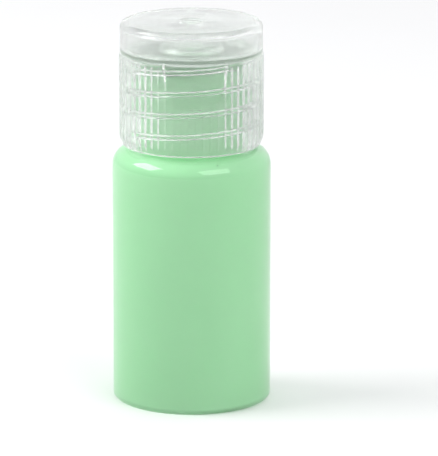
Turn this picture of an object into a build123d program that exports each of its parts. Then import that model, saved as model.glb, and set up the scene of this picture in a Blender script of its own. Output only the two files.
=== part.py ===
"""Small flip-top squeeze bottle of craft paint.

A clear PET bottle with a threaded neck, filled with pale green paint, is closed by a
screw cap of natural polypropylene.  The base of the cap is ribbed on the outside and
carries a low nozzle on its deck.  The lid swings up on two thin film hinges, with a snap
strap between them, and a plug under the lid closes the nozzle.

Millimetres, +Z up, front at -Y, hinge at +Y.  The origin is the centre of the foot.
"""
from build123d import *
from math import radians, tan
import os

os.makedirs("parts", exist_ok=True)

# ---- bottle -------------------------------------------------------------------------
BODY_RADIUS = 11.7
WALL = 0.7
FOOT_ROUND = 0.95             # rounding between the wall and the foot
FOOT_RING_RADIUS = 9.85       # inner edge of the flat ring that the bottle stands on
FOOT_RING_ROUND = 0.3
HEEL_ROUND = 0.85             # inside, between the wall and the base
BASE_WALL = 0.45
PUSH_UP = 1.3                 # rise of the dished base at its centre
PUSH_UP_RADIUS = 5.2
PUSH_UP_ROUND = 3.0
SHOULDER_ROUND = 2.6
SHOULDER_HEIGHT = 37.9
SHOULDER_SLOPE = 0.25         # extra height of the shoulder where it meets the neck
NECK_RADIUS = 7.75            # neck cylinder under the threads
NECK_ROOT_ROUND = 0.45
BORE_RADIUS = 6.4
THROAT_ROUND = 0.6            # inside, between the shoulder and the bore
LIP_HEIGHT = 51.5
LIP_ROUND = 0.25
PAINT_LEVEL = 51.3

# ---- screw thread: right hand, 8 threads per inch -----------------------------------
PITCH = 3.175
FLANK = 30                    # degrees from square to the axis
THREAD_BITE = 0.15            # depth that each ridge is sunk into its own wall
THREAD_GAP = 0.05             # between the flanks that press when the cap is tight
NECK_CREST_RADIUS = 9.05
NECK_CREST_WIDTH = 0.86
NECK_THREAD_HEIGHT = 48.7     # middle of the upper turn, straight in front
NECK_THREAD_END = 65          # degrees past the front where the upper end fades out
NECK_THREAD_TURNS = 1.6
CAP_CREST_RADIUS = 8.7
CAP_CREST_WIDTH = 0.35
CAP_THREAD_END = 50
CAP_THREAD_TURNS = 3.35
FADE_CUTTER_RADIUS = 5.0      # cutter that fades out the ends of the cap's thread

# ---- liner washer -------------------------------------------------------------------
LINER_RADIUS = 7.95
LINER_HOLE_RADIUS = 2.0

# ---- seam between the base of the cap and its lid -----------------------------------
SEAM_HEIGHT = 52.94
SEAM_GAP = 0.08
SEAM_CHAMFER = 0.06

# ---- base of the cap ----------------------------------------------------------------
SKIRT_BOTTOM = 38.5
SKIRT_RADIUS = 10.63          # over the ribs
SKIRT_FOOT_RADIUS = 10.09
SKIRT_TAPER = 1.35            # height of the rounded taper at the bottom
SKIRT_TAPER_ROUND = 1.6
SKIRT_FOOT_ROUND = 0.2
SKIRT_INNER_RADIUS = 9.15
SKIRT_MOUTH_CHAMFER = 0.3
BAND_RADIUS = 10.5            # smooth band above the ribs
BAND_HEIGHT = 0.85
BAND_STEP = 0.15              # height of the slope between the ribs and the band
DECK = 0.9
DECK_CORNER_ROUND = 0.2
RIBS = 60
GROOVE_RADIUS = 0.26          # round-bottomed grooves between the ribs
GROOVE_DEPTH = 0.2
GROOVE_TOP = 51.75
RIM_RADIUS = 9.4              # low rim on the deck that centres the lid
RIM_WIDTH = 0.45
RIM_HEIGHT = 0.35
RIM_ROUND = 0.12

# ---- nozzle on the deck -------------------------------------------------------------
NOZZLE_FOOT_RADIUS = 4.9
NOZZLE_SIDE_RADIUS = 4.3
NOZZLE_SIDE_HEIGHT = 0.95
NOZZLE_SIDE_ROUND = 0.6
NOZZLE_TOP_RADIUS = 2.0
NOZZLE_TOP_ROUND = 0.6
NOZZLE_HEIGHT = 1.5
NOZZLE_WALL = 0.8             # upright thickness
NOZZLE_INSET = 0.65           # thickness across its sloping side
ORIFICE_RADIUS = 1.0
ORIFICE_ROUND = 0.15

# ---- thumb recess in the front of the skirt -----------------------------------------
RECESS_TOP_WIDTH = 9.5
RECESS_BOTTOM_WIDTH = 7.8
RECESS_BOTTOM = 45.8
RECESS_CORNER = 2.6
RECESS_TOP_RADIUS = 10.05     # the floor leans in towards the seam
RECESS_BOTTOM_RADIUS = 10.42

# ---- lid ----------------------------------------------------------------------------
LID_RADIUS = 10.5
LID_TOP = 56.9
LID_WALL = 0.9
LID_ROUND = 0.95
LID_INNER_ROUND = 0.45
BOSS_RADIUS = 1.6             # boss under the lid that carries the plug
BOSS_ROUND = 0.2
BOSS_GAP = 0.3                # between the boss and the top of the nozzle
PIN_RADIUS = 0.9
PIN_TIP_RADIUS = 0.62
PIN_TIP_LENGTH = 0.5
PIN_TIP_ROUND = 0.2
PIN_LENGTH = 1.25
GATE_RADIUS = 0.35            # moulding gate in a shallow dish on the lid
GATE_HEIGHT = 0.05
DISH_RADIUS = 1.7
DISH_DEPTH = 0.08

# ---- hinge --------------------------------------------------------------------------
LAND_BACK = 10.9              # flat pads on base and lid that the films spring from
LAND_FRONT = 8.6
LAND_WIDTH = 9.2
LAND_HEIGHT = 2.0
LAND_BEVEL = 0.4
LAND_CORNER = 0.3
LAND_BITE = 0.6               # depth that each pad is sunk into its own wall
FILM = 0.25
FILM_LOOP = 0.42              # outer radius of the folded film
FILM_WIDTH = 2.5
FILM_OFFSET = 3.15            # middle of each film from the middle plane
STRAP = 0.3
STRAP_WIDTH = 2.6
STRAP_REACH = 1.0             # ends of the strap above and below the seam
STRAP_BOW = 0.45              # how far the strap stands out of the pads

# ---- worked out from the above ------------------------------------------------------
BASE_TOP = SEAM_HEIGHT - SEAM_GAP / 2
LID_BOTTOM = SEAM_HEIGHT + SEAM_GAP / 2
DECK_UNDERSIDE = BASE_TOP - DECK
NOZZLE_TOP = BASE_TOP + NOZZLE_HEIGHT
LID_CEILING = LID_TOP - LID_WALL
LID_INNER_RADIUS = LID_RADIUS - LID_WALL
BOSS_BOTTOM = NOZZLE_TOP + BOSS_GAP
FLANK_SLOPE = tan(radians(FLANK))
# The cap's ridge lies just under the neck's ridge, flank against flank.
CAP_THREAD_HEIGHT = (
    NECK_THREAD_HEIGHT
    - (NECK_CREST_WIDTH + CAP_CREST_WIDTH) / 2
    - (NECK_CREST_RADIUS - CAP_CREST_RADIUS) * FLANK_SLOPE
    - THREAD_GAP
)


def outline(*corners):
    """Closed face; each corner is x, y and, where it is rounded, a radius."""
    points = [corner[:2] for corner in corners]
    rounds = [corner[2] if len(corner) > 2 else 0 for corner in corners]
    return make_face(FilletPolyline(*points, radius=rounds, close=True))


def turned(*corners):
    """Solid of revolution about Z; the corners' x and y are radius and height."""
    return revolve(Plane.XZ * outline(*corners), Axis.Z)


def cavity():
    """Inside of the bottle, from the middle of its floor to the start of the bore."""
    inner = BODY_RADIUS - WALL
    return [
        (0, PUSH_UP + BASE_WALL),
        (PUSH_UP_RADIUS, PUSH_UP + BASE_WALL, PUSH_UP_ROUND),
        (FOOT_RING_RADIUS, BASE_WALL, FOOT_RING_ROUND),
        (inner, BASE_WALL, HEEL_ROUND - FOOT_RING_ROUND),
        (inner, SHOULDER_HEIGHT - WALL, SHOULDER_ROUND - WALL),
        (BORE_RADIUS, SHOULDER_HEIGHT - WALL, THROAT_ROUND),
    ]


def helical_ridge(wall, crest, crest_width, front_height, end, turns):
    """Trapezoid ridge standing on a cylindrical wall and winding up to its upper end.

    front_height is the middle of the upper turn straight in front, and end is how many
    degrees the ridge goes on past the front.
    """
    outward = 1 if crest > wall else -1
    root = wall - outward * THREAD_BITE
    half_crest = crest_width / 2
    half_root = half_crest + abs(crest - root) * FLANK_SLOPE
    section = Plane.XZ * outline(
        (root, -half_root), (crest, -half_crest), (crest, half_crest), (root, half_root)
    )
    path = Helix(pitch=PITCH, height=PITCH * turns, radius=wall)
    upper_end = on_helix(front_height, end)
    lower_end = on_helix(front_height, end - 360 * turns)
    ridge = lower_end * sweep(section, path=path, is_frenet=True)
    cutter = fade_cutter(wall, outward)
    return ridge - upper_end * cutter - lower_end * cutter


def on_helix(front_height, past_front):
    """Place on the helix, some degrees past the front, with its X axis pointing outwards."""
    return Pos(0, 0, front_height + PITCH * past_front / 360) * Rot(Z=past_front - 90)


def fade_cutter(wall, outward):
    """Block that touches the wall along one line, so that a ridge there runs out to nothing."""
    if outward > 0:
        return Pos(wall + BODY_RADIUS / 2, 0, 0) * Box(BODY_RADIUS, BODY_RADIUS * 2, PITCH)
    return Pos(wall - FADE_CUTTER_RADIUS, 0, 0) * Cylinder(FADE_CUTTER_RADIUS, PITCH)


def make_bottle():
    body = turned(
        (0, PUSH_UP),
        (PUSH_UP_RADIUS, PUSH_UP, PUSH_UP_ROUND),
        (FOOT_RING_RADIUS, 0, FOOT_RING_ROUND),
        (BODY_RADIUS, 0, FOOT_ROUND),
        (BODY_RADIUS, SHOULDER_HEIGHT, SHOULDER_ROUND),
        (NECK_RADIUS, SHOULDER_HEIGHT + SHOULDER_SLOPE, NECK_ROOT_ROUND),
        (NECK_RADIUS, LIP_HEIGHT, LIP_ROUND),
        (BORE_RADIUS, LIP_HEIGHT, LIP_ROUND / 2),
        *reversed(cavity()),
    )
    thread = helical_ridge(
        NECK_RADIUS,
        NECK_CREST_RADIUS,
        NECK_CREST_WIDTH,
        NECK_THREAD_HEIGHT,
        NECK_THREAD_END,
        NECK_THREAD_TURNS,
    )
    return body + thread


def make_paint():
    return turned(*cavity(), (BORE_RADIUS, PAINT_LEVEL), (0, PAINT_LEVEL))


def make_liner():
    return turned(
        (LINER_HOLE_RADIUS, LIP_HEIGHT),
        (LINER_RADIUS, LIP_HEIGHT),
        (LINER_RADIUS, DECK_UNDERSIDE),
        (LINER_HOLE_RADIUS, DECK_UNDERSIDE),
    )


def make_grooves():
    """Round-bottomed grooves all round the skirt, from below its mouth up to the band."""
    length = GROOVE_TOP - SKIRT_BOTTOM + SKIRT_TAPER
    groove = Cylinder(GROOVE_RADIUS, length, align=(Align.CENTER, Align.CENTER, Align.MAX))
    middle = SKIRT_RADIUS - GROOVE_DEPTH + GROOVE_RADIUS
    groove = Pos(middle, 0, GROOVE_TOP) * groove
    return [Rot(Z=360 / RIBS * rib) * groove for rib in range(RIBS)]


def make_recess():
    """Cutter for the thumb recess, open at the seam, with a cone for its floor."""
    slant = (RECESS_TOP_WIDTH - RECESS_BOTTOM_WIDTH) / 2 / (BASE_TOP - RECESS_BOTTOM)
    above = BASE_TOP + DECK
    half_above = RECESS_TOP_WIDTH / 2 + slant * DECK
    front = outline(
        (-half_above, above),
        (-RECESS_BOTTOM_WIDTH / 2, RECESS_BOTTOM, RECESS_CORNER),
        (RECESS_BOTTOM_WIDTH / 2, RECESS_BOTTOM, RECESS_CORNER),
        (half_above, above),
    )
    block = extrude(Plane.XZ * front, BODY_RADIUS)
    lean = (RECESS_BOTTOM_RADIUS - RECESS_TOP_RADIUS) / (BASE_TOP - RECESS_BOTTOM)
    core = turned(
        (0, RECESS_BOTTOM - DECK),
        (RECESS_BOTTOM_RADIUS + lean * DECK, RECESS_BOTTOM - DECK),
        (RECESS_TOP_RADIUS - lean * DECK * 2, above + DECK),
        (0, above + DECK),
    )
    return block - core


def make_land(seam_side, far_side, inner_radius):
    """Flat pad for the hinge on the back of the cap, bevelled at its end away from the seam."""
    bevel = LAND_BEVEL if far_side > seam_side else -LAND_BEVEL
    profile = outline(
        (LAND_FRONT, seam_side),
        (LAND_BACK, seam_side),
        (LAND_BACK, far_side - bevel),
        (LAND_BACK - LAND_BEVEL, far_side),
        (LAND_FRONT, far_side),
    )
    pad = extrude(Plane.YZ * profile, LAND_WIDTH / 2, both=True)
    upright = pad.edges().filter_by(Axis.Z).group_by(Axis.Y)[-1]
    pad = fillet(upright, LAND_CORNER)
    bore = Cylinder(inner_radius + LAND_BITE / 2, BODY_RADIUS)
    return pad - Pos(0, 0, SEAM_HEIGHT) * bore


def make_cap_base():
    shell = turned(
        (ORIFICE_RADIUS, NOZZLE_TOP - NOZZLE_WALL),
        (ORIFICE_RADIUS, NOZZLE_TOP, ORIFICE_ROUND),
        (NOZZLE_TOP_RADIUS, NOZZLE_TOP, NOZZLE_TOP_ROUND),
        (NOZZLE_SIDE_RADIUS, BASE_TOP + NOZZLE_SIDE_HEIGHT, NOZZLE_SIDE_ROUND),
        (NOZZLE_FOOT_RADIUS, BASE_TOP, DECK_CORNER_ROUND),
        (RIM_RADIUS - RIM_WIDTH, BASE_TOP),
        (RIM_RADIUS - RIM_WIDTH, BASE_TOP + RIM_HEIGHT, RIM_ROUND),
        (RIM_RADIUS, BASE_TOP + RIM_HEIGHT, RIM_ROUND),
        (RIM_RADIUS, BASE_TOP),
        (BAND_RADIUS - SEAM_CHAMFER, BASE_TOP),
        (BAND_RADIUS, BASE_TOP - SEAM_CHAMFER),
        (BAND_RADIUS, BASE_TOP - BAND_HEIGHT),
        (SKIRT_RADIUS, BASE_TOP - BAND_HEIGHT - BAND_STEP),
        (SKIRT_RADIUS, SKIRT_BOTTOM + SKIRT_TAPER, SKIRT_TAPER_ROUND),
        (SKIRT_FOOT_RADIUS, SKIRT_BOTTOM, SKIRT_FOOT_ROUND),
        (SKIRT_INNER_RADIUS + SKIRT_MOUTH_CHAMFER, SKIRT_BOTTOM),
        (SKIRT_INNER_RADIUS, SKIRT_BOTTOM + SKIRT_MOUTH_CHAMFER),
        (SKIRT_INNER_RADIUS, DECK_UNDERSIDE, DECK_CORNER_ROUND),
        (NOZZLE_FOOT_RADIUS - NOZZLE_INSET, DECK_UNDERSIDE),
        (NOZZLE_SIDE_RADIUS - NOZZLE_INSET, BASE_TOP + NOZZLE_SIDE_HEIGHT - NOZZLE_WALL, NOZZLE_SIDE_ROUND),
    )
    shell -= make_grooves()
    shell -= make_recess()
    shell += make_land(BASE_TOP, BASE_TOP - LAND_HEIGHT, SKIRT_INNER_RADIUS)
    thread = helical_ridge(
        SKIRT_INNER_RADIUS,
        CAP_CREST_RADIUS,
        CAP_CREST_WIDTH,
        CAP_THREAD_HEIGHT + PITCH,
        CAP_THREAD_END,
        CAP_THREAD_TURNS,
    )
    return shell + thread


def make_lid():
    pin_bottom = BOSS_BOTTOM - PIN_LENGTH
    shell = turned(
        (0, LID_TOP - DISH_DEPTH + GATE_HEIGHT),
        (GATE_RADIUS, LID_TOP - DISH_DEPTH + GATE_HEIGHT),
        (GATE_RADIUS, LID_TOP - DISH_DEPTH),
        (DISH_RADIUS, LID_TOP - DISH_DEPTH),
        (DISH_RADIUS + DISH_DEPTH, LID_TOP),
        (LID_RADIUS, LID_TOP, LID_ROUND),
        (LID_RADIUS, LID_BOTTOM + SEAM_CHAMFER),
        (LID_RADIUS - SEAM_CHAMFER, LID_BOTTOM),
        (LID_INNER_RADIUS, LID_BOTTOM),
        (LID_INNER_RADIUS, LID_CEILING, LID_INNER_ROUND),
        (BOSS_RADIUS, LID_CEILING, BOSS_ROUND),
        (BOSS_RADIUS, BOSS_BOTTOM),
        (PIN_RADIUS, BOSS_BOTTOM),
        (PIN_RADIUS, pin_bottom + PIN_TIP_LENGTH),
        (PIN_TIP_RADIUS, pin_bottom, PIN_TIP_ROUND),
        (0, pin_bottom),
    )
    return shell + make_land(LID_BOTTOM, LID_BOTTOM + LAND_HEIGHT, LID_INNER_RADIUS)


def make_film(side):
    """Thin web folded into a loop across the seam, on the left (-1) or the right (1)."""
    centre = (LAND_BACK, SEAM_HEIGHT)
    ring = Circle(FILM_LOOP) - Circle(FILM_LOOP - FILM)
    half = Pos(FILM_LOOP, 0) * Rectangle(FILM_LOOP * 2, FILM_LOOP * 2)
    loop = Pos(*centre) * (ring & half)
    film = extrude(Plane.YZ * loop, FILM_WIDTH / 2, both=True)
    return Pos(side * FILM_OFFSET, 0, 0) * film


def make_strap():
    """Bowed strap between the films, flat against both pads at its ends."""
    radius = (STRAP_REACH**2 + STRAP_BOW**2) / (2 * STRAP_BOW)
    ring = Circle(radius + STRAP / 2) - Circle(radius - STRAP / 2)
    bow = Pos(LAND_BACK + STRAP_BOW - radius, SEAM_HEIGHT) * ring
    outside = Pos(LAND_BACK + radius, SEAM_HEIGHT) * Rectangle(radius * 2, radius * 4)
    return extrude(Plane.YZ * (bow & outside), STRAP_WIDTH / 2, both=True)


nodes = {
    "bottle": make_bottle(),
    "paint": make_paint(),
    "liner": make_liner(),
    "cap_base": make_cap_base(),
    "lid": make_lid(),
    "hinge_film_left": make_film(-1),
    "hinge_film_right": make_film(1),
    "hinge_snap_strap": make_strap(),
}

for name, shape in nodes.items():
    export_step(shape, f"parts/{name}.step")
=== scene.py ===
"""Looks of the small flip-top bottle of craft paint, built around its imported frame.

Outlines and sizes are in millimetres and are turned into metres where a mesh is made.
Front is -Y, the hinge is at +Y, and the origin is the centre of the foot.
"""

import math

import bmesh
import bpy
import numpy as np
from mathutils import Matrix, Vector


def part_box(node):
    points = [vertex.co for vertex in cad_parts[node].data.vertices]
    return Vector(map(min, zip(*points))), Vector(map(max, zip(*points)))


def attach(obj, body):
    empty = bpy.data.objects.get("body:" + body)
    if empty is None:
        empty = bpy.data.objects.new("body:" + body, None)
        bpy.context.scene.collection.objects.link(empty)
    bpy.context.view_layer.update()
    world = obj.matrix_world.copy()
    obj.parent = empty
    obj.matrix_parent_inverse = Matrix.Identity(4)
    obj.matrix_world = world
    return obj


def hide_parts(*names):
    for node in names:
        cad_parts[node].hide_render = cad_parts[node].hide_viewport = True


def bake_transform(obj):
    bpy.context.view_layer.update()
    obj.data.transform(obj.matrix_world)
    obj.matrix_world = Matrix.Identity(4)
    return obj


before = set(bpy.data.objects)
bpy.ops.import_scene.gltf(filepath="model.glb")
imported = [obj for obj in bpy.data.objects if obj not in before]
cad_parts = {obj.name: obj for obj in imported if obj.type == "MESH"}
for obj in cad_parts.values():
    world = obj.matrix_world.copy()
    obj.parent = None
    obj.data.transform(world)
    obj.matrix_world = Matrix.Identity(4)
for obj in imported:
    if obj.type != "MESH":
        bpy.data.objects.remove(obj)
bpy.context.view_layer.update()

MM = 0.001
TINY = 1e-6
MERGE = 1e-7               # metres within which coinciding points are one
BOTTLE_STEPS = 240
PAINT_STEPS = 180
CAP_STEPS = 200
LID_STEPS = 360
WEB_STEPS = 20
THREAD_ROWS = 36           # rows of points in one pitch of a thread


def millimetres(node):
    """Lowest and highest corner of a CAD node at rest, in millimetres."""
    low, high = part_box(node)
    return [value / MM for value in low], [value / MM for value in high]


# ---- sizes read from the frame ----------------------------------------------------------
_, bottle_high = millimetres("bottle")
_, paint_high = millimetres("paint")
base_low, _ = millimetres("cap_base")
lid_low, lid_high = millimetres("lid")
_, liner_high = millimetres("liner")
film_low, film_high = millimetres("hinge_film_right")
strap_low, strap_high = millimetres("hinge_snap_strap")

BODY_RADIUS = bottle_high[0]
LIP_HEIGHT = bottle_high[2]
PAINT_LEVEL = paint_high[2]
SKIRT_BOTTOM = base_low[2]
SKIRT_RADIUS = -base_low[0]
LID_RADIUS = -lid_low[0]
LID_TOP = lid_high[2]
LAND_BACK = lid_high[1]
LINER_RADIUS = liner_high[0]
DECK_UNDERSIDE = liner_high[2]
SEAM_HEIGHT = (film_low[2] + film_high[2]) / 2

# ---- sizes that the frame doesn't state -------------------------------------------------
WALL = 0.7
FOOT_RING_RADIUS = 9.85
BASE_WALL = 0.45
PUSH_UP = 1.3
PUSH_UP_RADIUS = 5.2
SHOULDER_ROUND = 2.6
SHOULDER_HEIGHT = 37.9
NECK_FOOT = 38.15
NECK_RADIUS = 7.75
BORE_RADIUS = 6.4
PAINT_BITE = 0.03          # how far the paint reaches into the wall, so that no air is between
MOULD_SEAM_ANGLE = 8       # degrees, and the same again on the other side
MOULD_SEAM_HEIGHT = 0.03
LINER_HOLE_RADIUS = 2.0
MENISCUS = ((0.1, 0.06), (0.3, 0.13), (0.8, 0.19))  # in from the edge and down from it
MENISCUS_DEPTH = 0.22

NOZZLE_HEIGHT = 1.5
NOZZLE_BORE_RADIUS = 1.0
NOZZLE_BORE_LENGTH = 0.8
NOZZLE_TIP_RADIUS = 2.0
NOZZLE_BULGE_RADIUS = 4.3
NOZZLE_BULGE_HEIGHT = 0.95
NOZZLE_FOOT_RADIUS = 4.9
HOLLOW_TOP_RADIUS = 3.65   # the hollow under the nozzle
HOLLOW_TOP_HEIGHT = 0.15
HOLLOW_RADIUS = 4.25

BOSS_GAP = 0.3
BOSS_RADIUS = 1.6
PIN_RADIUS = 0.9
PIN_LENGTH = 1.25
PIN_TIP_RADIUS = 0.62
PIN_TIP_LENGTH = 0.5
GATE_DISH_RADIUS = 1.7
GATE_DISH_DEPTH = 0.08
GATE_RADIUS = 0.35
GATE_TOP_RADIUS = 0.32
GATE_HEIGHT = 0.05

PITCH = 3.175
FLANK_SLOPE = math.tan(math.radians(30))
NECK_THREAD_FOOT = 42.4    # ends of the wall that carries the thread
NECK_THREAD_HEAD = 51.1
NECK_CREST_RADIUS = 9.05
NECK_CREST_WIDTH = 0.86
NECK_THREAD_HEIGHT = 48.7
NECK_THREAD_END = 65
NECK_THREAD_TURNS = 1.6
CAP_CREST_RADIUS = 8.7
CAP_CREST_WIDTH = 0.35
CAP_THREAD_END = 50
CAP_THREAD_FOOT = 39.2
CAP_THREAD_TURNS = 3.35
THREAD_GAP = 0.05
FADE_ANGLE = 45            # degrees over which a ridge can rise from nothing
FADE_CUTTER_RADIUS = 5.0
CAP_THREAD_HEIGHT = (
    NECK_THREAD_HEIGHT
    + PITCH
    - (NECK_CREST_WIDTH + CAP_CREST_WIDTH) / 2
    - (NECK_CREST_RADIUS - CAP_CREST_RADIUS) * FLANK_SLOPE
    - THREAD_GAP
)

SEAM_GAP = 0.08
BASE_TOP = SEAM_HEIGHT - SEAM_GAP / 2
LID_BOTTOM = SEAM_HEIGHT + SEAM_GAP / 2
SEAM_ROUND = 0.08
SKIRT_FOOT_RADIUS = 10.09
SKIRT_TAPER = 1.35
SKIRT_MIDDLE = 42.0
SKIRT_INNER_RADIUS = 9.15
MOUTH_CHAMFER = 0.3
BAND_RADIUS = LID_RADIUS
BAND_HEIGHT = 0.85
BAND_STEP = 0.15
BAND_ROWS = 0.13           # height between rows of points, here and in the next two
PAD_ROWS = 0.14
RECESS_ROWS = 0.16
RIBS = 60
GROOVE_DEPTH = 0.2
GROOVE_HALF_ANGLE = 1.55   # degrees
GROOVE_TOP = 51.8
GROOVE_RUN_OUT = 0.3
RIM_RADIUS = 9.4
RIM_WIDTH = 0.45
RIM_HEIGHT = 0.35

RECESS_BOTTOM = 45.8
RECESS_HALF_WIDTH = 3.9    # at the bottom, growing to the seam
RECESS_SLANT = 0.12
RECESS_CORNER = 2.6
RECESS_TOP_RADIUS = 10.05
RECESS_BOTTOM_RADIUS = 10.42

LAND_HALF_WIDTH = 4.6
LAND_HEIGHT = 2.0
LAND_BEVEL = 0.4
LAND_CORNER = 0.3

LID_WALL = 0.9
LID_ROUND = 0.95
LID_INNER_RADIUS = LID_RADIUS - LID_WALL
LID_CEILING = LID_TOP - LID_WALL

FILM_RADIUS = 0.295
FILM_THICKNESS = 0.25
STRAP_RADIUS = 1.336
STRAP_OUT = 0.45
STRAP_THICKNESS = 0.3
WEB_BEVEL = 0.06
WEB_BITE = 0.02            # how far the ends reach into the pads

# ---- looks, light and camera ------------------------------------------------------------
PAINT_COLOUR = (0.42, 0.76, 0.46)
PAINT_PALE = (0.44, 0.78, 0.48)
PAINT_DEEP = (0.40, 0.74, 0.44)
FLOOR_RINGS = (60, 250, 900, 2500)
FLOOR_DROP = 0.02
ROOM_COLOUR = (0.98, 0.985, 1, 1)
ROOM_MIDDLE = 0.61
ROOM_SLOPE = (0.32, 0.36, 0.15)
CAMERA_PLACE = (4.04, -672.8, 192.1)
CAMERA_PITCH = 13.90       # degrees below level
CAMERA_AZIMUTH = -3.6      # degrees round to the left of straight in front
CAMERA_LENS = 369.9
CAMERA_SENSOR = 36
CAMERA_REACH = 10          # metres


# ---- outlines ---------------------------------------------------------------------------
def rounded(corners, steps=6):
    """Open outline through corners (radius, height, rounding), with each rounding as an arc."""
    points = []
    for index, corner in enumerate(corners):
        here = np.array(corner[:2], float)
        radius = corner[2] if len(corner) > 2 else 0
        if radius == 0:
            points.append(here)
            continue
        before = np.array(corners[index - 1][:2], float) - here
        after = np.array(corners[index + 1][:2], float) - here
        before /= np.linalg.norm(before)
        after /= np.linalg.norm(after)
        half = math.acos(float(np.clip(before @ after, -1, 1))) / 2
        reach = radius / math.tan(half)
        bisector = (before + after) / np.linalg.norm(before + after)
        centre = here + bisector * radius / math.sin(half)
        first = here + before * reach - centre
        last = here + after * reach - centre
        sweep = math.pi - 2 * half
        for step in range(steps + 1):
            share = step / steps
            weight_first = math.sin((1 - share) * sweep) / math.sin(sweep)
            weight_last = math.sin(share * sweep) / math.sin(sweep)
            points.append(centre + first * weight_first + last * weight_last)
    return points


def smoothstep(low, high, value):
    share = np.clip((np.asarray(value, float) - low) / (high - low), 0, 1)
    return share * share * (3 - 2 * share)


def soft_min(first, second, width):
    """The smaller of two values, with the corner between them rounded over width."""
    near = np.maximum(width - np.abs(first - second), 0) / width
    return np.minimum(first, second) - near * near * width / 4


def even_angles(count):
    return np.linspace(0, 2 * math.pi, count, endpoint=False)


# ---- mesh building ----------------------------------------------------------------------
class Skin:
    """Points and faces of one closed surface, in millimetres, built ring by ring."""

    def __init__(self):
        self.points = []
        self.faces = []

    def ring(self, angles, radii, heights):
        """Adds a ring of points and returns their numbers and their angles."""
        radii = np.broadcast_to(radii, angles.shape)
        heights = np.broadcast_to(heights, angles.shape)
        start = len(self.points)
        self.points += zip(radii * np.cos(angles), radii * np.sin(angles), heights)
        return np.arange(start, start + len(angles)), angles

    def bridge(self, first, second):
        """Faces between two rings, or between a ring and a single point."""
        a, b = first[0], second[0]
        if len(a) == 1 or len(b) == 1:
            tip, ring = (a[0], b) if len(a) == 1 else (b[0], a)
            self.faces += [(tip, ring[i - 1], ring[i]) for i in range(len(ring))]
        elif len(a) == len(b):
            self.faces += [(a[i - 1], a[i], b[i], b[i - 1]) for i in range(len(a))]
        else:
            self.zip(first, second)

    def zip(self, first, second):
        """Triangles between two rings with different numbers of points."""
        (a, angles_a), (b, angles_b) = first, second
        full = 2 * math.pi
        i = j = 0
        while i < len(a) or j < len(b):
            next_a = angles_a[i + 1] if i + 1 < len(a) else full + angles_a[0]
            next_b = angles_b[j + 1] if j + 1 < len(b) else full + angles_b[0]
            here_a, here_b = a[i % len(a)], b[j % len(b)]
            if j >= len(b) or (i < len(a) and next_a <= next_b):
                self.faces.append((here_a, a[(i + 1) % len(a)], here_b))
                i += 1
            else:
                self.faces.append((here_a, b[(j + 1) % len(b)], here_b))
                j += 1

    def turn(self, outline, angles, shape=None, before=None):
        """Rings along an outline, each bridged to the last; shape may change their radii."""
        last = before
        for radius, height in outline:
            if radius < TINY:
                self.points.append((0.0, 0.0, height))
                new = np.array([len(self.points) - 1]), np.zeros(1)
            else:
                radii = radius if shape is None else shape(radius, angles, height)
                new = self.ring(angles, radii, height)
            if last is not None:
                self.bridge(last, new)
            last = new
        return last

    def helical(self, low, high, angles, ridge):
        """Threaded wall between two heights, with rows that follow the thread.

        Rows that pass either end are pressed onto it, and mesh() merges the points that
        then coincide, so the wall joins the plain rings at both ends.
        """
        phase = ridge.front_height + PITCH / 4
        start = phase - PITCH * math.ceil((phase - low) / PITCH + 1)
        turns = math.ceil((high - start) / PITCH) + 1
        rows = []
        for row in range(turns * THREAD_ROWS + 1):
            height = start + PITCH * row / THREAD_ROWS
            heights = np.clip(height + angles / (2 * math.pi) * PITCH, low, high)
            rows.append(self.ring(angles, ridge.radius(angles, heights), heights)[0])
        for row in range(turns * THREAD_ROWS):
            a, b = rows[row], rows[row + 1]
            self.faces += [(a[i], a[i + 1], b[i + 1], b[i]) for i in range(len(angles) - 1)]
            if row + THREAD_ROWS < turns * THREAD_ROWS:
                c, d = rows[row + THREAD_ROWS], rows[row + THREAD_ROWS + 1]
                self.faces.append((a[-1], c[0], d[0], b[-1]))

    def mesh(self, name, sharp=40):
        """Blender object in metres, with coinciding points merged and normals outwards.

        Folded strips can come out of the normals' recalculation inside out, and have a
        negative volume then.
        """
        data = bpy.data.meshes.new(name)
        points = (np.array(self.points) * MM).tolist()
        data.from_pydata(points, [], [tuple(map(int, face)) for face in self.faces])
        build = bmesh.new()
        build.from_mesh(data)
        bmesh.ops.remove_doubles(build, verts=build.verts, dist=MERGE)
        bmesh.ops.recalc_face_normals(build, faces=build.faces)
        if build.calc_volume(signed=True) < 0:
            bmesh.ops.reverse_faces(build, faces=build.faces)
        build.to_mesh(data)
        build.free()
        data.shade_smooth()
        data.set_sharp_from_angle(angle=math.radians(sharp))
        piece = bpy.data.objects.new(name, data)
        bpy.context.scene.collection.objects.link(piece)
        return piece


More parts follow.
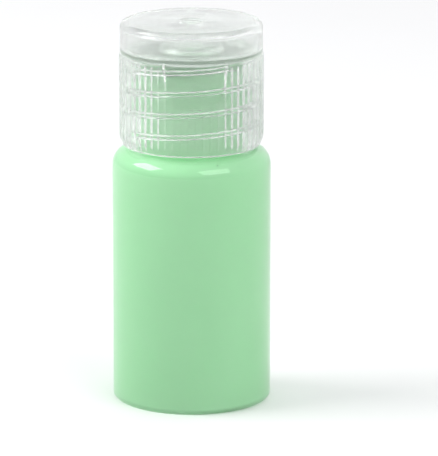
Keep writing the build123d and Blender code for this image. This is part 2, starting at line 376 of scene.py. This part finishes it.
class Ridge:
    """Screw thread on a cylindrical wall: a rounded trapezoid that fades out at both ends."""

    def __init__(self, wall, crest, crest_width, front_height, end, turns, soft):
        self.wall = wall
        self.tall = abs(crest - wall)
        self.outward = 1 if crest > wall else -1
        self.half_crest = crest_width / 2
        self.half_root = self.half_crest + self.tall * FLANK_SLOPE
        self.front_height = front_height
        self.end = end
        self.start = end - 360 * turns
        self.soft = soft

    def radius(self, angles, heights):
        past_front = np.degrees(angles) + 90
        tallest = np.zeros(len(angles))
        for turn in range(-5, 3):
            along = past_front + 360 * turn
            middle = self.front_height + PITCH * along / 360
            slope = (self.half_root - np.abs(heights - middle)) / FLANK_SLOPE
            height = -soft_min(-soft_min(slope, self.tall, self.soft), 0, self.soft)
            height = np.minimum(height, self.fade(self.end - along))
            height = np.minimum(height, self.fade(along - self.start))
            tallest = np.maximum(tallest, height)
        return self.wall + self.outward * tallest

    def fade(self, degrees_left):
        """Most that the ridge may stand out so many degrees before its end."""
        near = np.radians(np.clip(degrees_left, 0, FADE_ANGLE))
        if self.outward > 0:
            limit = self.wall / np.cos(near) - self.wall
        else:
            offset = self.wall - FADE_CUTTER_RADIUS
            reach = np.sqrt(FADE_CUTTER_RADIUS**2 - (offset * np.sin(near)) ** 2)
            limit = self.wall - offset * np.cos(near) - reach
        full = np.where(degrees_left > FADE_ANGLE, self.tall, limit)
        return np.where(degrees_left < 0, 0, full)


def adopt(piece, body, node, material):
    """Puts a piece in the place of its CAD node, on a body, with its material."""
    piece.data.materials.append(material)
    if body:
        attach(piece, body)
    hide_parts(node)
    return piece


# ---- pieces -----------------------------------------------------------------------------
NECK_RIDGE = Ridge(
    NECK_RADIUS,
    NECK_CREST_RADIUS,
    NECK_CREST_WIDTH,
    NECK_THREAD_HEIGHT,
    NECK_THREAD_END,
    NECK_THREAD_TURNS,
    soft=0.5,
)
CAP_RIDGE = Ridge(
    SKIRT_INNER_RADIUS,
    CAP_CREST_RADIUS,
    CAP_CREST_WIDTH,
    CAP_THREAD_HEIGHT,
    CAP_THREAD_END,
    CAP_THREAD_TURNS,
    soft=0.12,
)


def cavity(bite=0.0):
    """Corners of the bottle's inside, from the middle of its floor to the bore."""
    inner = BODY_RADIUS - WALL + bite
    ceiling = SHOULDER_HEIGHT - WALL + bite
    floor = BASE_WALL - bite
    return [
        (0, PUSH_UP + floor),
        (PUSH_UP_RADIUS, PUSH_UP + floor, 3.0),
        (FOOT_RING_RADIUS, floor, 0.3),
        (inner, floor, 0.55),
        (inner, ceiling, SHOULDER_ROUND - WALL),
        (BORE_RADIUS + bite, ceiling, 0.6),
    ]


def mould_seam(radius, angles, height):
    """Fine raised lines where the two halves of the blow mould met."""
    if radius < FOOT_RING_RADIUS:
        return radius
    away = np.abs((np.degrees(angles) - MOULD_SEAM_ANGLE + 90) % 180 - 90)
    tall = MOULD_SEAM_HEIGHT * smoothstep(NECK_CREST_RADIUS, NECK_CREST_RADIUS + 1, radius)
    return radius + tall * smoothstep(1.0, 0.2, away)


def bottle_angles():
    """Even steps, with extra ones beside the mould seams."""
    extra = [seam + step for seam in (0, 180) for step in (-1.1, -0.7, -0.25, 0.25, 0.7, 1.1)]
    extra = np.radians(np.array(extra) + MOULD_SEAM_ANGLE) % (2 * math.pi)
    even = even_angles(BOTTLE_STEPS)
    clear = [angle for angle in even if np.min(np.abs(extra - angle)) > math.radians(0.3)]
    return np.sort(np.concatenate([clear, extra]))


def make_bottle(material):
    skin = Skin()
    angles = bottle_angles()
    outside = rounded([
        (0, PUSH_UP),
        (PUSH_UP_RADIUS, PUSH_UP, 3.0),
        (FOOT_RING_RADIUS, 0, 0.3),
        (BODY_RADIUS, 0, 0.95),
        (BODY_RADIUS, SHOULDER_HEIGHT, SHOULDER_ROUND),
        (NECK_RADIUS, NECK_FOOT, 0.45),
        (NECK_RADIUS, NECK_THREAD_FOOT),
    ], steps=10)
    skin.turn(outside, angles, mould_seam)
    skin.helical(NECK_THREAD_FOOT, NECK_THREAD_HEAD, angles, NECK_RIDGE)
    inside = rounded([
        (NECK_RADIUS, NECK_THREAD_HEAD),
        (NECK_RADIUS, LIP_HEIGHT, 0.25),
        (BORE_RADIUS, LIP_HEIGHT, 0.12),
        *reversed(cavity()),
    ], steps=8)
    skin.turn(inside, angles)
    adopt(skin.mesh("bottle_shell"), "bottle", "bottle", material)


def make_paint(material):
    skin = Skin()
    edge = BORE_RADIUS + PAINT_BITE
    outline = rounded(cavity(PAINT_BITE) + [(edge, PAINT_LEVEL)], steps=8)
    surface = [*MENISCUS, (edge / 2, MENISCUS_DEPTH), (edge, MENISCUS_DEPTH)]
    outline += [(edge - inwards, PAINT_LEVEL - down) for inwards, down in surface]
    skin.turn(outline, even_angles(PAINT_STEPS))
    adopt(skin.mesh("paint_fill"), "bottle", "paint", material)


def make_liner(material):
    skin = Skin()
    round_edge = 0.08
    middle = (LINER_RADIUS + LINER_HOLE_RADIUS) / 2
    outline = rounded([
        (middle, LIP_HEIGHT),
        (LINER_RADIUS, LIP_HEIGHT, round_edge),
        (LINER_RADIUS, DECK_UNDERSIDE, round_edge),
        (LINER_HOLE_RADIUS, DECK_UNDERSIDE, round_edge),
        (LINER_HOLE_RADIUS, LIP_HEIGHT, round_edge),
        (middle, LIP_HEIGHT),
    ], steps=4)
    skin.turn(outline, even_angles(PAINT_STEPS))
    adopt(skin.mesh("neck_liner"), "liner", "liner", material)


def grooves(angles, height):
    """Depth of the grooves between the ribs."""
    rib = 360 / RIBS
    away = np.abs((np.degrees(angles) + rib / 2) % rib - rib / 2)
    depth = GROOVE_DEPTH * (1 + np.cos(np.pi * np.clip(away / GROOVE_HALF_ANGLE, 0, 1))) / 2
    return depth * smoothstep(GROOVE_TOP, GROOVE_TOP - GROOVE_RUN_OUT, height)


def land(angles, height, seam, far, base):
    """Radius of the flat hinge pad where it stands out of the wall, and of the wall elsewhere."""
    sine = np.sin(angles)
    back = np.where(sine > 0.5, sine, 1)
    out = 1 if far > seam else -1
    past_bevel = np.clip((out * (height - far) + LAND_BEVEL) / LAND_BEVEL, 0, 1)
    flat = LAND_BACK - LAND_BEVEL * past_bevel
    across = np.abs(flat * np.cos(angles) / back)
    corner = np.clip((across - LAND_HALF_WIDTH + LAND_CORNER) / LAND_CORNER, 0, 1)
    flat = flat - LAND_CORNER * (1 - np.sqrt(1 - corner**2))
    share = smoothstep(LAND_HALF_WIDTH + 0.12, LAND_HALF_WIDTH - 0.02, across)
    share = share * (sine > 0.5) * (out * (height - far) < 0.02)
    return base + np.maximum(flat / back - base, 0) * share


def recess(angles, height, base):
    """The skirt's radius with the thumb recess pressed into its front."""
    across = np.abs(base * np.cos(angles))
    half_width = RECESS_HALF_WIDTH + RECESS_SLANT * (height - RECESS_BOTTOM)
    side = across - half_width + RECESS_CORNER
    bottom = RECESS_BOTTOM + RECESS_CORNER - height
    distance = np.minimum(np.maximum(side, bottom), 0) - RECESS_CORNER
    distance = distance + np.hypot(np.maximum(side, 0), np.maximum(bottom, 0))
    share = smoothstep(0.14, -0.1, distance) * (np.sin(angles) < 0)
    rise = (height - RECESS_BOTTOM) / (BASE_TOP - RECESS_BOTTOM)
    floor = RECESS_BOTTOM_RADIUS + (RECESS_TOP_RADIUS - RECESS_BOTTOM_RADIUS) * rise
    return base - np.maximum(base - floor, 0) * share


def skirt(radius, angles, height):
    """Outside of the cap's base: ribs, thumb recess and hinge pad."""
    inset = BAND_RADIUS - radius if height > BASE_TOP - SEAM_ROUND - TINY else 0
    ribbed = soft_min(radius + inset, SKIRT_RADIUS - grooves(angles, height), 0.04)
    shaped = recess(angles, height, ribbed)
    return land(angles, height, BASE_TOP, BASE_TOP - LAND_HEIGHT, shaped) - inset


def dense(outline, step):
    """The outline with points added so that no two are further apart than step."""
    points = [outline[0]]
    for end in outline[1:]:
        start = points[-1]
        parts = max(1, math.ceil(np.linalg.norm(np.subtract(end, start)) / step))
        points += [start + (np.array(end) - start) * part / parts for part in range(1, parts + 1)]
    return points


def rib_angles():
    """Steps that crowd together in each groove and open out over each rib."""
    rib = 360 / RIBS
    steps = (-1.9, -1.4, -1.0, -0.5, 0, 0.5, 1.0, 1.4, 1.9, rib / 2)
    return np.radians([rib * index + step for index in range(RIBS) for step in steps])


def make_cap_base(material):
    skin = Skin()
    inner_angles = even_angles(CAP_STEPS)
    nozzle_top = BASE_TOP + NOZZLE_HEIGHT
    top = rounded([
        (NOZZLE_BORE_RADIUS, nozzle_top - NOZZLE_BORE_LENGTH),
        (NOZZLE_BORE_RADIUS, nozzle_top, 0.15),
        (NOZZLE_TIP_RADIUS, nozzle_top, 0.6),
        (NOZZLE_BULGE_RADIUS, BASE_TOP + NOZZLE_BULGE_HEIGHT, 0.6),
        (NOZZLE_FOOT_RADIUS, BASE_TOP, 0.2),
        (RIM_RADIUS - RIM_WIDTH, BASE_TOP, 0.08),
        (RIM_RADIUS - RIM_WIDTH, BASE_TOP + RIM_HEIGHT, 0.12),
        (RIM_RADIUS, BASE_TOP + RIM_HEIGHT, 0.12),
        (RIM_RADIUS, BASE_TOP, 0.08),
        (RIM_RADIUS + 0.2, BASE_TOP),
    ], steps=5)
    rim = skin.turn(top, inner_angles)
    seam_edge = rounded([
        (BAND_RADIUS - 2 * SEAM_ROUND, BASE_TOP),
        (BAND_RADIUS, BASE_TOP, SEAM_ROUND),
        (BAND_RADIUS, BASE_TOP - 2 * SEAM_ROUND),
    ], steps=4)[1:-1]
    ribs_top = BASE_TOP - BAND_HEIGHT - BAND_STEP
    pad_foot = BASE_TOP - LAND_HEIGHT
    band = [seam_edge[-1], (BAND_RADIUS, BASE_TOP - BAND_HEIGHT), (SKIRT_RADIUS, ribs_top)]
    behind_pad = [(SKIRT_RADIUS, ribs_top), (SKIRT_RADIUS, pad_foot + 0.03)]
    below_pad = [(SKIRT_RADIUS, pad_foot - 0.03), (SKIRT_RADIUS, RECESS_BOTTOM - 0.3)]
    foot = rounded([
        (SKIRT_RADIUS, SKIRT_MIDDLE),
        (SKIRT_RADIUS, SKIRT_BOTTOM + SKIRT_TAPER, 1.6),
        (SKIRT_FOOT_RADIUS, SKIRT_BOTTOM, 0.2),
        (SKIRT_INNER_RADIUS + 0.5, SKIRT_BOTTOM),
    ], steps=6)[1:-1]
    outside = seam_edge + dense(band, BAND_ROWS)[1:] + dense(behind_pad, PAD_ROWS)[1:]
    outside += dense(below_pad, RECESS_ROWS) + [(SKIRT_RADIUS, SKIRT_MIDDLE)] + foot
    skirt_foot = skin.turn(outside, rib_angles(), skirt, before=rim)
    mouth = rounded([
        (SKIRT_INNER_RADIUS + 2 * MOUTH_CHAMFER, SKIRT_BOTTOM),
        (SKIRT_INNER_RADIUS + MOUTH_CHAMFER, SKIRT_BOTTOM, 0.1),
        (SKIRT_INNER_RADIUS, SKIRT_BOTTOM + MOUTH_CHAMFER, 0.1),
        (SKIRT_INNER_RADIUS, CAP_THREAD_FOOT),
    ], steps=3)
    skin.turn(mouth, inner_angles, before=skirt_foot)
    skin.helical(CAP_THREAD_FOOT, DECK_UNDERSIDE, inner_angles, CAP_RIDGE)
    under_deck = np.full(CAP_STEPS, DECK_UNDERSIDE)
    ceiling = skin.ring(inner_angles, CAP_RIDGE.radius(inner_angles, under_deck), under_deck)
    underside = rounded([
        (LINER_RADIUS + 0.1, DECK_UNDERSIDE),
        (HOLLOW_RADIUS, DECK_UNDERSIDE, 0.2),
        (HOLLOW_TOP_RADIUS, BASE_TOP + HOLLOW_TOP_HEIGHT, 0.6),
        (NOZZLE_BORE_RADIUS, nozzle_top - NOZZLE_BORE_LENGTH),
    ], steps=5)
    skin.turn(underside, inner_angles, before=ceiling)
    adopt(skin.mesh("cap_base_shell"), "cap", "cap_base", material)


def lid_side(radius, angles, height):
    """Outside of the lid with its hinge pad."""
    if height > LID_BOTTOM + LAND_HEIGHT + TINY:
        return radius
    inset = LID_RADIUS - radius
    return land(angles, height, LID_BOTTOM, LID_BOTTOM + LAND_HEIGHT, LID_RADIUS) - inset


def make_lid(material):
    skin = Skin()
    angles = even_angles(LID_STEPS)
    boss_bottom = BASE_TOP + NOZZLE_HEIGHT + BOSS_GAP
    pin_bottom = boss_bottom - PIN_LENGTH
    pad_top = LID_BOTTOM + LAND_HEIGHT
    dish_floor = LID_TOP - GATE_DISH_DEPTH
    inside = rounded([
        (0, pin_bottom),
        (PIN_TIP_RADIUS, pin_bottom, 0.2),
        (PIN_RADIUS, pin_bottom + PIN_TIP_LENGTH, 0.1),
        (PIN_RADIUS, boss_bottom, 0.06),
        (BOSS_RADIUS, boss_bottom, 0.1),
        (BOSS_RADIUS, LID_CEILING, 0.2),
        (LID_INNER_RADIUS, LID_CEILING, 0.45),
        (LID_INNER_RADIUS, LID_BOTTOM, 0.08),
        (LID_RADIUS, LID_BOTTOM),
    ], steps=6)[:-1]
    side = rounded([
        (LID_INNER_RADIUS, LID_BOTTOM),
        (LID_RADIUS, LID_BOTTOM, SEAM_ROUND),
        (LID_RADIUS, LID_BOTTOM + 0.5),
    ], steps=4)[1:]
    side += [(LID_RADIUS, pad_top - LAND_BEVEL * share) for share in (1, 0.66, 0.33, 0.02)]
    crown = rounded([
        (LID_RADIUS, pad_top + 0.05),
        (LID_RADIUS, LID_TOP, LID_ROUND),
        (GATE_DISH_RADIUS + 0.08, LID_TOP, 0.06),
        (GATE_DISH_RADIUS, dish_floor, 0.06),
        (GATE_RADIUS, dish_floor, 0.02),
        (GATE_TOP_RADIUS, dish_floor + GATE_HEIGHT, 0.02),
        (0, dish_floor + GATE_HEIGHT),
    ], steps=9)
    underside = skin.turn(inside, angles)
    skin.turn([*side, *crown], angles, lid_side, before=underside)
    adopt(skin.mesh("flip_lid"), "lid", "lid", material)


def make_web(name, node, width, middle, radius, out, thickness, material):
    """Bowed strip across the seam, thinned at its middle.

    It is an arc of the radius given, and it stands out of the hinge pads by out.
    """
    skin = Skin()
    centre_y = LAND_BACK + out - radius
    sweep = math.acos((LAND_BACK - centre_y) / radius)
    corners = [(1, -1), (1, 1), (-1, 1), (-1, -1)]
    rows = []
    for step in range(WEB_STEPS + 1):
        turn = sweep * (2 * step / WEB_STEPS - 1)
        half = thickness / 2 * (0.7 + 0.3 * abs(turn / sweep))
        loop = []
        for index, (side, face) in enumerate(corners):
            edge = (side * width / 2, face * (half - WEB_BEVEL))
            inset = (side * (width / 2 - WEB_BEVEL), face * half)
            loop += [edge, inset] if index % 2 == 0 else [inset, edge]
        first = len(skin.points)
        for x, proud in loop:
            reach = radius + proud
            y = max(centre_y + reach * math.cos(turn), LAND_BACK - WEB_BITE)
            skin.points.append((middle + x, y, SEAM_HEIGHT + reach * math.sin(turn)))
        rows.append((np.arange(first, len(skin.points)), None))
    for first, second in zip(rows, rows[1:]):
        skin.bridge(first, second)
    skin.faces += [tuple(rows[0][0]), tuple(rows[-1][0])]
    piece = skin.mesh(name)
    adopt(piece, None, node, material)
    reach = radius * math.sin(sweep) * MM
    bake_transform(piece)


# ---- materials --------------------------------------------------------------------------
class Look:
    """A material and short ways to add nodes to it; positions come from Object coordinates."""

    def __init__(self, name):
        self.material = bpy.data.materials.new(name)
        self.material.use_nodes = True
        self.nodes = self.material.node_tree.nodes
        self.links = self.material.node_tree.links
        self.shader = self.nodes["Principled BSDF"]
        self.place = self.nodes.new("ShaderNodeTexCoord").outputs["Object"]

    def add(self, kind, **settings):
        node = self.nodes.new(kind)
        for key, value in settings.items():
            setattr(node, key, value)
        return node

    def noise(self, size, detail=2, stretch=(1, 1, 1)):
        """Noise with features of about a size in millimetres."""
        mapping = self.add("ShaderNodeMapping")
        mapping.inputs["Scale"].default_value = [1 / (size * MM * part) for part in stretch]
        self.links.new(self.place, mapping.inputs["Vector"])
        noise = self.add("ShaderNodeTexNoise")
        noise.inputs["Scale"].default_value = 1
        noise.inputs["Detail"].default_value = detail
        self.links.new(mapping.outputs["Vector"], noise.inputs["Vector"])
        return noise.outputs["Fac"]

    def spread(self, value, low, high, start=0.3, stop=0.7):
        """A value between start and stop turned into one between low and high."""
        node = self.add("ShaderNodeMapRange")
        node.inputs["From Min"].default_value = start
        node.inputs["From Max"].default_value = stop
        node.inputs["To Min"].default_value = low
        node.inputs["To Max"].default_value = high
        self.links.new(value, node.inputs["Value"])
        return node.outputs["Result"]

    def blend(self, share, first, second):
        """Mix of two colours, either of which may be a node's output."""
        node = self.add("ShaderNodeMix", data_type="RGBA")
        self.links.new(share, node.inputs["Factor"])
        for socket, colour in ((node.inputs[6], first), (node.inputs[7], second)):
            if isinstance(colour, bpy.types.NodeSocket):
                self.links.new(colour, socket)
            else:
                socket.default_value = (*colour, 1)
        return node.outputs[2]

    def specks(self, spacing, radius, share):
        """1 inside scattered specks, 0 elsewhere; share is how many cells have one."""
        cells = self.add("ShaderNodeTexVoronoi")
        cells.inputs["Scale"].default_value = 1 / (spacing * MM)
        self.links.new(self.place, cells.inputs["Vector"])
        reach = radius / spacing
        near = self.spread(cells.outputs["Distance"], 1, 0, reach * 0.6, reach)
        chosen = self.spread(cells.outputs["Color"], 1, 0, share - 0.001, share)
        both = self.add("ShaderNodeMath", operation="MULTIPLY")
        self.links.new(near, both.inputs[0])
        self.links.new(chosen, both.inputs[1])
        return both.outputs["Value"]

    def bump(self, value, depth, follow=None):
        """Bump whose depth is in millimetres, over an earlier bump if there is one."""
        node = self.add("ShaderNodeBump")
        node.inputs["Distance"].default_value = depth * MM
        self.links.new(value, node.inputs["Height"])
        if follow:
            self.links.new(follow, node.inputs["Normal"])
        return node.outputs["Normal"]

    def set(self, **values):
        """Sets or links the shader's inputs; an underscore stands for a space."""
        for key, value in values.items():
            socket = self.shader.inputs[key.replace("_", " ")]
            if isinstance(value, bpy.types.NodeSocket):
                self.links.new(value, socket)
            elif isinstance(value, tuple) and len(socket.default_value) == 4:
                socket.default_value = (*value, 1)
            else:
                socket.default_value = value

    def let_light_through(self, colour):
        """Shadow rays pass straight through, so that lamps light what is behind."""
        light_path = self.add("ShaderNodeLightPath")
        clear = self.add("ShaderNodeBsdfTransparent")
        clear.inputs["Color"].default_value = (*colour, 1)
        mix = self.add("ShaderNodeMixShader")
        self.links.new(light_path.outputs["Is Shadow Ray"], mix.inputs["Fac"])
        self.links.new(self.shader.outputs["BSDF"], mix.inputs[1])
        self.links.new(clear.outputs["BSDF"], mix.inputs[2])
        self.links.new(mix.outputs["Shader"], self.nodes["Material Output"].inputs["Surface"])

    def milkiness(self, colour, density, forward):
        """Scatters light inside, at a density per millimetre."""
        cloud = self.add("ShaderNodeVolumeScatter")
        cloud.inputs["Color"].default_value = (*colour, 1)
        cloud.inputs["Density"].default_value = density / MM
        cloud.inputs["Anisotropy"].default_value = forward
        self.links.new(cloud.outputs["Volume"], self.nodes["Material Output"].inputs["Volume"])


def pet_look():
    """Clear blow-moulded PET: glossy, slightly wavy, with light handling haze."""
    look = Look("pet_clear_blown")
    waves = look.bump(look.noise(7, stretch=(1, 1, 2.5)), 0.01)
    skin = look.bump(look.noise(0.5, detail=3), 0.0006, waves)
    look.set(
        Base_Color=look.blend(look.noise(9), (0.97, 1.0, 0.98), (0.94, 0.99, 0.96)),
        Roughness=look.spread(look.noise(1.5, detail=5), 0.01, 0.06),
        Transmission_Weight=1.0,
        IOR=1.57,
        Normal=skin,
    )
    look.let_light_through((0.95, 0.98, 0.96))
    return look.material


def paint_look():
    """Opaque pastel green paint against the wall, with faint swirls and a few dark specks."""
    look = Look("paint_pastel_green")
    swirl = look.blend(look.noise(12, detail=4, stretch=(1, 1, 0.5)), PAINT_COLOUR, PAINT_PALE)
    grain = look.spread(look.noise(0.6, detail=3), 0.0, 0.25)
    mottled = look.blend(grain, swirl, PAINT_DEEP)
    look.set(
        Base_Color=look.blend(look.specks(5, 0.12, 0.5), mottled, (0.05, 0.16, 0.08)),
        Roughness=look.spread(look.noise(3), 0.7, 0.9),
        Specular_IOR_Level=0.1,
        Subsurface_Weight=0.3,
        Subsurface_Scale=0.002,
        Subsurface_Radius=(1, 1, 1),
        Normal=look.bump(look.noise(1.2, detail=4), 0.01),
    )
    return look.material


def pp_look():
    """Natural polypropylene: translucent, faintly milky, with flow marks and fine scuffs."""
    look = Look("pp_natural_moulded")
    flow = look.bump(look.noise(3.5, detail=3, stretch=(1, 1, 3)), 0.001)
    skin = look.bump(look.noise(0.35, detail=4), 0.00015, flow)
    scuffs = look.noise(0.9, detail=6, stretch=(4, 1, 0.6))
    look.set(
        Base_Color=look.blend(look.noise(5, detail=3), (0.98, 0.985, 0.98), (0.95, 0.96, 0.955)),
        Roughness=look.spread(scuffs, 0.1, 0.2, 0.35, 0.75),
        Transmission_Weight=0.97,
        IOR=1.49,
        Subsurface_Weight=1.0,
        Subsurface_Scale=0.0015,
        Subsurface_Radius=(1, 1, 1),
        Normal=skin,
    )
    look.let_light_through((0.86, 0.93, 0.87))
    look.milkiness((0.985, 0.995, 0.985), density=0.14, forward=0.3)
    return look.material


def foam_look():
    """White expanded polyethylene foam with fine closed cells."""
    look = Look("foam_white_cells")
    cells = look.add("ShaderNodeTexVoronoi")
    cells.inputs["Scale"].default_value = 1 / (0.35 * MM)
    look.links.new(look.place, cells.inputs["Vector"])
    look.set(
        Base_Color=look.blend(cells.outputs["Distance"], (0.93, 0.94, 0.93), (0.82, 0.84, 0.83)),
        Roughness=look.spread(look.noise(0.8), 0.55, 0.8),
        Normal=look.bump(cells.outputs["Distance"], 0.04),
    )
    return look.material


def floor_look():
    """White photographer's paper with a fine, even tooth."""
    look = Look("floor_white_paper")
    look.set(
        Base_Color=look.blend(look.noise(40), (0.97, 0.97, 0.97), (0.95, 0.95, 0.95)),
        Roughness=look.spread(look.noise(2, detail=4), 0.85, 0.95),
        Specular_IOR_Level=0.1,
        Normal=look.bump(look.noise(0.8, detail=4), 0.01),
    )
    return look.material


# ---- stage, light and camera ------------------------------------------------------------
def make_floor():
    skin = Skin()
    skin.turn([(0, 0), *((radius, 0) for radius in FLOOR_RINGS)], even_angles(96))
    floor = skin.mesh("floor")
    floor.data.materials.append(floor_look())
    floor.location.z = -FLOOR_DROP * MM


def direction(azimuth, elevation):
    """Unit vector towards a place; azimuth 0 is the camera's side, and grows to the right."""
    azimuth = math.radians(azimuth)
    elevation = math.radians(elevation)
    level = math.cos(elevation)
    return Vector((level * math.sin(azimuth), -level * math.cos(azimuth), math.sin(elevation)))


def softbox(name, azimuth, elevation, distance, size, power):
    """Rectangular lamp that faces the middle of the bottle."""
    lamp = bpy.data.lights.new(name, "AREA")
    lamp.shape = "RECTANGLE"
    lamp.size, lamp.size_y = size
    lamp.energy = power
    light = bpy.data.objects.new(name, lamp)
    target = Vector((0, 0, LIP_HEIGHT / 2 * MM))
    away = direction(azimuth, elevation)
    light.location = target + away * distance
    light.rotation_euler = away.to_track_quat("Z", "Y").to_euler()
    bpy.context.scene.collection.objects.link(light)


def make_surroundings():
    """Pale room that grows brighter upwards and towards its right-hand and far sides."""
    world = bpy.data.worlds.new("studio")
    bpy.context.scene.world = world
    world.use_nodes = True
    nodes, links = world.node_tree.nodes, world.node_tree.links
    place = nodes.new("ShaderNodeTexCoord").outputs["Generated"]
    slope = nodes.new("ShaderNodeVectorMath")
    slope.operation = "DOT_PRODUCT"
    slope.inputs[1].default_value = ROOM_SLOPE
    links.new(place, slope.inputs[0])
    strength = nodes.new("ShaderNodeMath")
    strength.inputs[1].default_value = ROOM_MIDDLE
    links.new(slope.outputs["Value"], strength.inputs[0])
    links.new(strength.outputs["Value"], nodes["Background"].inputs["Strength"])
    nodes["Background"].inputs["Color"].default_value = ROOM_COLOUR


def make_camera():
    camera = bpy.data.cameras.new("camera")
    camera.lens = CAMERA_LENS
    camera.sensor_width = CAMERA_SENSOR
    camera.clip_end = CAMERA_REACH
    rig = bpy.data.objects.new("camera", camera)
    turn = Matrix.Rotation(math.radians(CAMERA_AZIMUTH), 4, "Z")
    rig.location = turn @ (Vector(CAMERA_PLACE) * MM)
    rig.rotation_euler = (math.radians(90 - CAMERA_PITCH), 0, math.radians(CAMERA_AZIMUTH))
    bpy.context.scene.collection.objects.link(rig)
    bpy.context.scene.camera = rig


# ---- scene ------------------------------------------------------------------------------
make_bottle(pet_look())
make_paint(paint_look())
make_liner(foam_look())
cap_plastic = pp_look()
make_cap_base(cap_plastic)
make_lid(cap_plastic)
for side, name in ((-1, "left"), (1, "right")):
    make_web(
        f"film_{name}",
        f"hinge_film_{name}",
        width=film_high[0] - film_low[0],
        middle=side * (film_high[0] + film_low[0]) / 2,
        radius=FILM_RADIUS,
        out=FILM_RADIUS,
        thickness=FILM_THICKNESS,
        material=cap_plastic,
    )
make_web(
    "snap_strap",
    "hinge_snap_strap",
    width=strap_high[0] - strap_low[0],
    middle=0,
    radius=STRAP_RADIUS,
    out=STRAP_OUT,
    thickness=STRAP_THICKNESS,
    material=cap_plastic,
)

make_floor()
make_surroundings()
softbox("softbox_left", azimuth=-92, elevation=44, distance=0.6, size=(0.4, 0.26), power=2.0)
softbox("fill_right", azimuth=36, elevation=38, distance=0.7, size=(0.5, 0.36), power=1.45)
make_camera()
bpy.context.scene.view_settings.view_transform = "Standard"
# Light crosses several walls of the cap and turns back inside them many times.
bpy.context.scene.cycles.max_bounces = 24
bpy.context.scene.cycles.glossy_bounces = 16
bpy.context.scene.cycles.transmission_bounces = 24
bpy.context.scene.cycles.volume_bounces = 12
